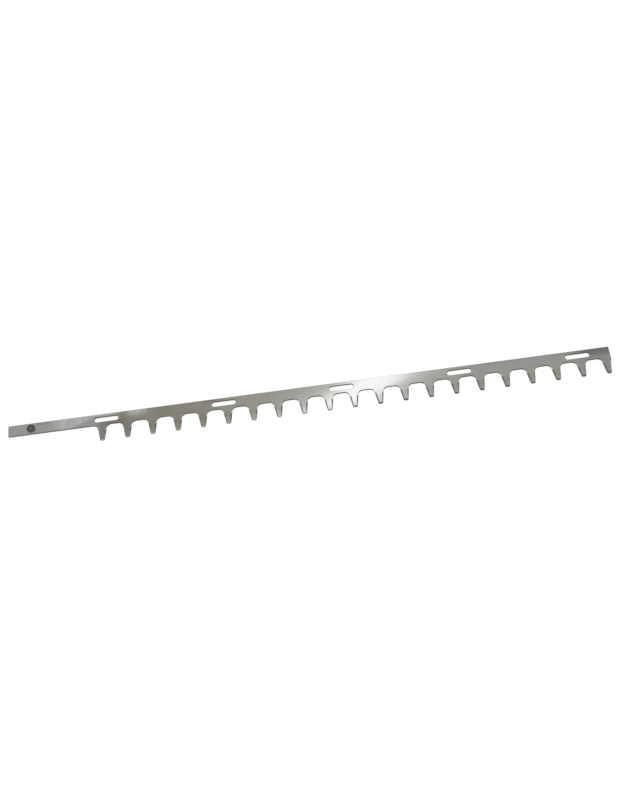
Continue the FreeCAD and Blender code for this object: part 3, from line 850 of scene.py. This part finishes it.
def blackened_steel():
    """Turned and chemically blackened steel: dark with a dull shine, worn brighter at the rim, with a painted
    highlight in the dish.
    """
    material, tree, shader, place = new_steel("blackened_steel")

    # Rings 0.3 mm apart from the lathe: the wave repeats every pi / 10 at scale 1
    rings = add_node(tree, "ShaderNodeTexWave", {
        "Vector": place, "Scale": math.pi / 10 / (0.3 * MM), "Distortion": 0.4, "Detail": 1.0,
    }, wave_type="RINGS", rings_direction="Z").outputs["Fac"]
    dark = add_node(tree, "ShaderNodeMix", {
        "Factor": rings, "A": linear("#525251"), "B": linear("#656564"),
    }, data_type="RGBA")

    # Wear at the rim and the painted highlight in the dish go by the distance from the pin's axis
    flat = add_node(tree, "ShaderNodeVectorMath", {0: place, 1: (1, 1, 0)}, operation="MULTIPLY")
    distance = add_node(tree, "ShaderNodeVectorMath", {0: flat.outputs[0]}, operation="LENGTH")
    radius = distance.outputs["Value"]
    # Painted highlight: the dish is given a lighter colour
    dish = add_node(tree, "ShaderNodeMapRange", {
        "Value": radius, "From Min": 0.6 * PIN_DISH_RADIUS, "From Max": 1.15 * PIN_DISH_RADIUS,
        "To Min": 1.0, "To Max": 0.0,
    })
    painted_dish_highlight = add_node(tree, "ShaderNodeMix", {
        "Factor": dish.outputs[0], "A": dark.outputs["Result"], "B": linear("#7C7C79"),
    }, data_type="RGBA")
    rim = add_node(tree, "ShaderNodeMapRange", {
        "Value": radius, "From Min": PIN_RADIUS - PIN_EDGE_ROUND, "From Max": PIN_RADIUS,
    })
    colour = add_node(tree, "ShaderNodeMix", {
        "Factor": rim.outputs[0], "A": painted_dish_highlight.outputs["Result"], "B": linear("#94948F"),
    }, data_type="RGBA")
    tree.links.new(colour.outputs["Result"], shader.inputs["Base Color"])

    roughness = add_node(tree, "ShaderNodeMapRange", {"Value": rings, "To Min": 0.45, "To Max": 0.55})
    tree.links.new(roughness.outputs[0], shader.inputs["Roughness"])
    relief = add_node(tree, "ShaderNodeBump", {"Height": rings, "Distance": 0.004 * MM})
    tree.links.new(relief.outputs[0], shader.inputs["Normal"])
    return material


# Studio

# Brightness of the studio at the horizon and overhead, and the heights that the change lies between, as the
# sine of the angle above the horizon
SKY_HORIZON = 0.85
SKY_OVERHEAD = 0.66
HORIZON_TOP = 0.25
OVERHEAD_START = 0.85

# Floor: how brightly the paper shows to the eye and in the steel, how far it lies below the blade so that
# the two faces stay apart, and half its size
PAPER_GLOW = 0.88
PAPER_GAP = 0.05 * MM
PAPER_HALF_SIZE = 30.0

# Camera: where it stands and which way it looks, found from the teeth and slots in the photograph
CAMERA_PLACE = Vector((403.21, -785.44, 1392.39)) * MM
CAMERA_RIGHT = Vector((0.99116, -0.11065, -0.07317))
CAMERA_UP = Vector((0.13226, 0.86709, 0.48028))
CAMERA_LENS = 52.0

# Strip softbox: how far its light travels to the blade, and the places in the plane of the face where its
# ends are mirrored
SOFTBOX_DISTANCE = 1.5
SOFTBOX_NEAR_END = Vector((92, -240)) * MM
SOFTBOX_FAR_END = Vector((674, 124)) * MM

# The place on the blade that the softbox faces, its half width, and the soft edge of the tube in its middle
SOFTBOX_AIM_X = 475 * MM
SOFTBOX_HALF_WIDTH = 140 * MM
TUBE_EDGE_INNER = 33 * MM
TUBE_EDGE_OUTER = 42 * MM

# How much the tube and the cloth add to the brightness overhead, and the power by which the cloth fades
TUBE_LEVEL = 1.22
CLOTH_LEVEL = 0.45
CLOTH_FADE = 1.9

# Side windows and cards: how far they stand from the blade's middle, how bright they are, and how much the
# edge between the right card and the window beside it leans back for its height
SIDE_DISTANCE = 1.7
FRONT_WINDOW_LEVEL = 1.6
SIDE_WINDOW_LEVEL = 1.5
LEFT_CARD_LEVEL = 0.45
RIGHT_CARD_LEVEL = 0.15
RIGHT_LEAN = 0.2


def plane(name, middle, width_way, height_way, material):
    """A flat card given by its middle and its two half ways."""
    corners = [middle + a * width_way + b * height_way for a, b in ((-1, -1), (1, -1), (1, 1), (-1, 1))]
    data = bpy.data.meshes.new(name)
    data.from_pydata(corners, [], [(0, 1, 2, 3)])
    data.materials.append(material)
    card = add_object(name, data)
    return card


def light_world():
    """A soft pale studio, lighter at the horizon than overhead."""
    world = bpy.data.worlds.new("studio")
    bpy.context.scene.world = world
    world.use_nodes = True
    tree = world.node_tree
    tree.nodes.clear()
    ways = add_node(tree, "ShaderNodeTexCoord").outputs["Generated"]
    height = add_node(tree, "ShaderNodeSeparateXYZ", {0: ways}).outputs["Z"]
    level = add_node(tree, "ShaderNodeMapRange", {
        "Value": height, "From Min": HORIZON_TOP, "From Max": OVERHEAD_START,
        "To Min": SKY_HORIZON, "To Max": SKY_OVERHEAD,
    }, interpolation_type="SMOOTHSTEP")
    sky = add_node(tree, "ShaderNodeBackground", {"Color": linear("#FFFFFF"), "Strength": level.outputs[0]})
    add_node(tree, "ShaderNodeOutputWorld", {"Surface": sky.outputs[0]})


def place_camera():
    """The camera, with the photograph's view."""
    data = bpy.data.cameras.new("camera")
    data.lens = CAMERA_LENS
    camera = add_object("camera", data)
    back = CAMERA_RIGHT.cross(CAMERA_UP)
    turn = Matrix((CAMERA_RIGHT, CAMERA_UP, back)).transposed()
    camera.matrix_world = Matrix.Translation(CAMERA_PLACE) @ turn.to_4x4()
    bpy.context.scene.camera = camera


def mirror_place(spot, distance):
    """The place above the blade that the camera sees mirrored at a spot in the plane of the upper face."""
    mirror = Vector((spot.x, spot.y, THICKNESS))
    way = (mirror - CAMERA_PLACE).normalized()
    return mirror + Vector((way.x, way.y, -way.z)) * distance


def softbox_cloth():
    """White diffusing cloth, bright and a little cool along the tube behind it, and fading to both sides."""
    material, tree = blank_material("softbox_cloth")
    place = add_node(tree, "ShaderNodeTexCoord").outputs["Object"]
    across = add_node(tree, "ShaderNodeSeparateXYZ", {0: place}).outputs["X"]
    aside = add_node(tree, "ShaderNodeMath", {0: across}, operation="ABSOLUTE").outputs[0]
    tube = add_node(tree, "ShaderNodeMapRange", {
        "Value": aside, "From Min": TUBE_EDGE_INNER, "From Max": TUBE_EDGE_OUTER,
        "To Min": 1.0, "To Max": 0.0,
    }, interpolation_type="SMOOTHSTEP").outputs[0]
    nearness = add_node(tree, "ShaderNodeMapRange", {
        "Value": aside, "From Min": TUBE_EDGE_INNER, "From Max": SOFTBOX_HALF_WIDTH,
        "To Min": 1.0, "To Max": 0.0,
    }).outputs[0]
    fading = add_node(tree, "ShaderNodeMath", {0: nearness, 1: CLOTH_FADE}, operation="POWER").outputs[0]
    cloth = add_node(tree, "ShaderNodeMath", {
        0: fading, 1: CLOTH_LEVEL, 2: SKY_OVERHEAD,
    }, operation="MULTIPLY_ADD").outputs[0]
    level = add_node(tree, "ShaderNodeMath", {
        0: tube, 1: TUBE_LEVEL, 2: cloth,
    }, operation="MULTIPLY_ADD").outputs[0]
    colour = add_node(tree, "ShaderNodeMix", {
        "Factor": tube, "A": linear("#FFFFFF"), "B": linear("#F8F8FF"),
    }, data_type="RGBA").outputs["Result"]
    light = add_node(tree, "ShaderNodeEmission", {"Color": colour, "Strength": level})
    add_node(tree, "ShaderNodeOutputMaterial", {"Surface": light.outputs[0]})
    return material


def place_softbox():
    """A long strip softbox above and behind the blade, which shows as the white glare across its middle."""
    near = mirror_place(SOFTBOX_NEAR_END, SOFTBOX_DISTANCE)
    far = mirror_place(SOFTBOX_FAR_END, SOFTBOX_DISTANCE)
    middle = (near + far) / 2
    aim = (middle - Vector((SOFTBOX_AIM_X, 0, THICKNESS))).normalized()
    half_long = (far - near) / 2
    half_long -= half_long.dot(aim) * aim
    long_way = half_long.normalized()
    turn = Matrix((long_way.cross(aim), long_way, aim)).transposed()
    width_way = Vector((SOFTBOX_HALF_WIDTH, 0, 0))
    strip = plane("softbox", Vector(), width_way, Vector((0, half_long.length, 0)), softbox_cloth())
    strip.matrix_world = Matrix.Translation(middle) @ turn.to_4x4()
    strip.visible_camera = False


def place_side_panel(name, side, middle, half_width, half_height, level, lean=0):
    """An upright glowing panel that only the steel sees.

    Middle is its place as y and z, and lean how far it leans back for its height.
    """
    material, tree = blank_material(name)
    light = add_node(tree, "ShaderNodeEmission", {"Strength": level})
    add_node(tree, "ShaderNodeOutputMaterial", {"Surface": light.outputs[0]})
    place = Vector(((SHANK_X + FREE_X) / 2 + side * SIDE_DISTANCE, *middle))
    upward = Vector((0, lean * half_height, half_height))
    panel = plane(name, place, Vector((0, half_width, 0)), upward, material)
    panel.visible_camera = False
    panel.visible_diffuse = False
    panel.visible_shadow = False


def place_side_panels():
    """Windows and grey cards that show in the bevels.

    The front windows light the corners where bevels run out, and the side window the lower ends of the right
    bevels. The cards darken the left bevels, and the upper ends of the right ones.
    """
    for name, side in (("front_left_window", -1), ("front_right_window", 1)):
        place_side_panel(
            name, side, middle=(-0.9, 1.0), half_width=0.6, half_height=0.3, level=FRONT_WINDOW_LEVEL
        )
    place_side_panel(
        "side_window", side=1, middle=(0.446, 0.55), half_width=0.25, half_height=0.25,
        level=SIDE_WINDOW_LEVEL, lean=RIGHT_LEAN
    )
    place_side_panel(
        "right_card", side=1, middle=(0.985, 0.4), half_width=0.3, half_height=0.3,
        level=RIGHT_CARD_LEVEL, lean=RIGHT_LEAN
    )
    place_side_panel(
        "left_card", side=-1, middle=(0.8, 0.83), half_width=0.35, half_height=0.57, level=LEFT_CARD_LEVEL
    )


def white_paper():
    """The floor: paper that shows white to the eye and in the steel, and keeps the blade's shadow."""
    material, tree = blank_material("white_paper")
    path = add_node(tree, "ShaderNodeLightPath").outputs
    seen = path["Is Camera Ray"]
    for ray in ("Is Glossy Ray", "Is Transmission Ray"):
        seen = add_node(tree, "ShaderNodeMath", {0: seen, 1: path[ray]}, operation="MAXIMUM").outputs[0]
    glow = add_node(tree, "ShaderNodeMath", {0: seen, 1: PAPER_GLOW}, operation="MULTIPLY")
    light = add_node(tree, "ShaderNodeEmission", {"Strength": glow.outputs[0]})
    paper = add_node(tree, "ShaderNodeBsdfDiffuse", {"Color": linear("#7C7C7C")})
    both = add_node(tree, "ShaderNodeAddShader", {0: light.outputs[0], 1: paper.outputs[0]})
    add_node(tree, "ShaderNodeOutputMaterial", {"Surface": both.outputs[0]})
    return material


def place_floor():
    """A wide sheet of paper under the blade."""
    middle = Vector((FREE_X / 2, 0, -PAPER_GAP))
    plane("paper", middle, Vector((PAPER_HALF_SIZE, 0, 0)), Vector((0, PAPER_HALF_SIZE, 0)), white_paper())


# Scene

blade = make_blade(surface_ground_steel(), crosswise_ground_steel(), stamped_edge_steel())
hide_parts("blade")
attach(blade, "root")

pin = make_pin(blackened_steel())
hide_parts("drive_pin")
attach(pin, "root")

light_world()
place_camera()
place_softbox()
place_side_panels()
place_floor()
bpy.context.scene.view_settings.view_transform = "Standard"
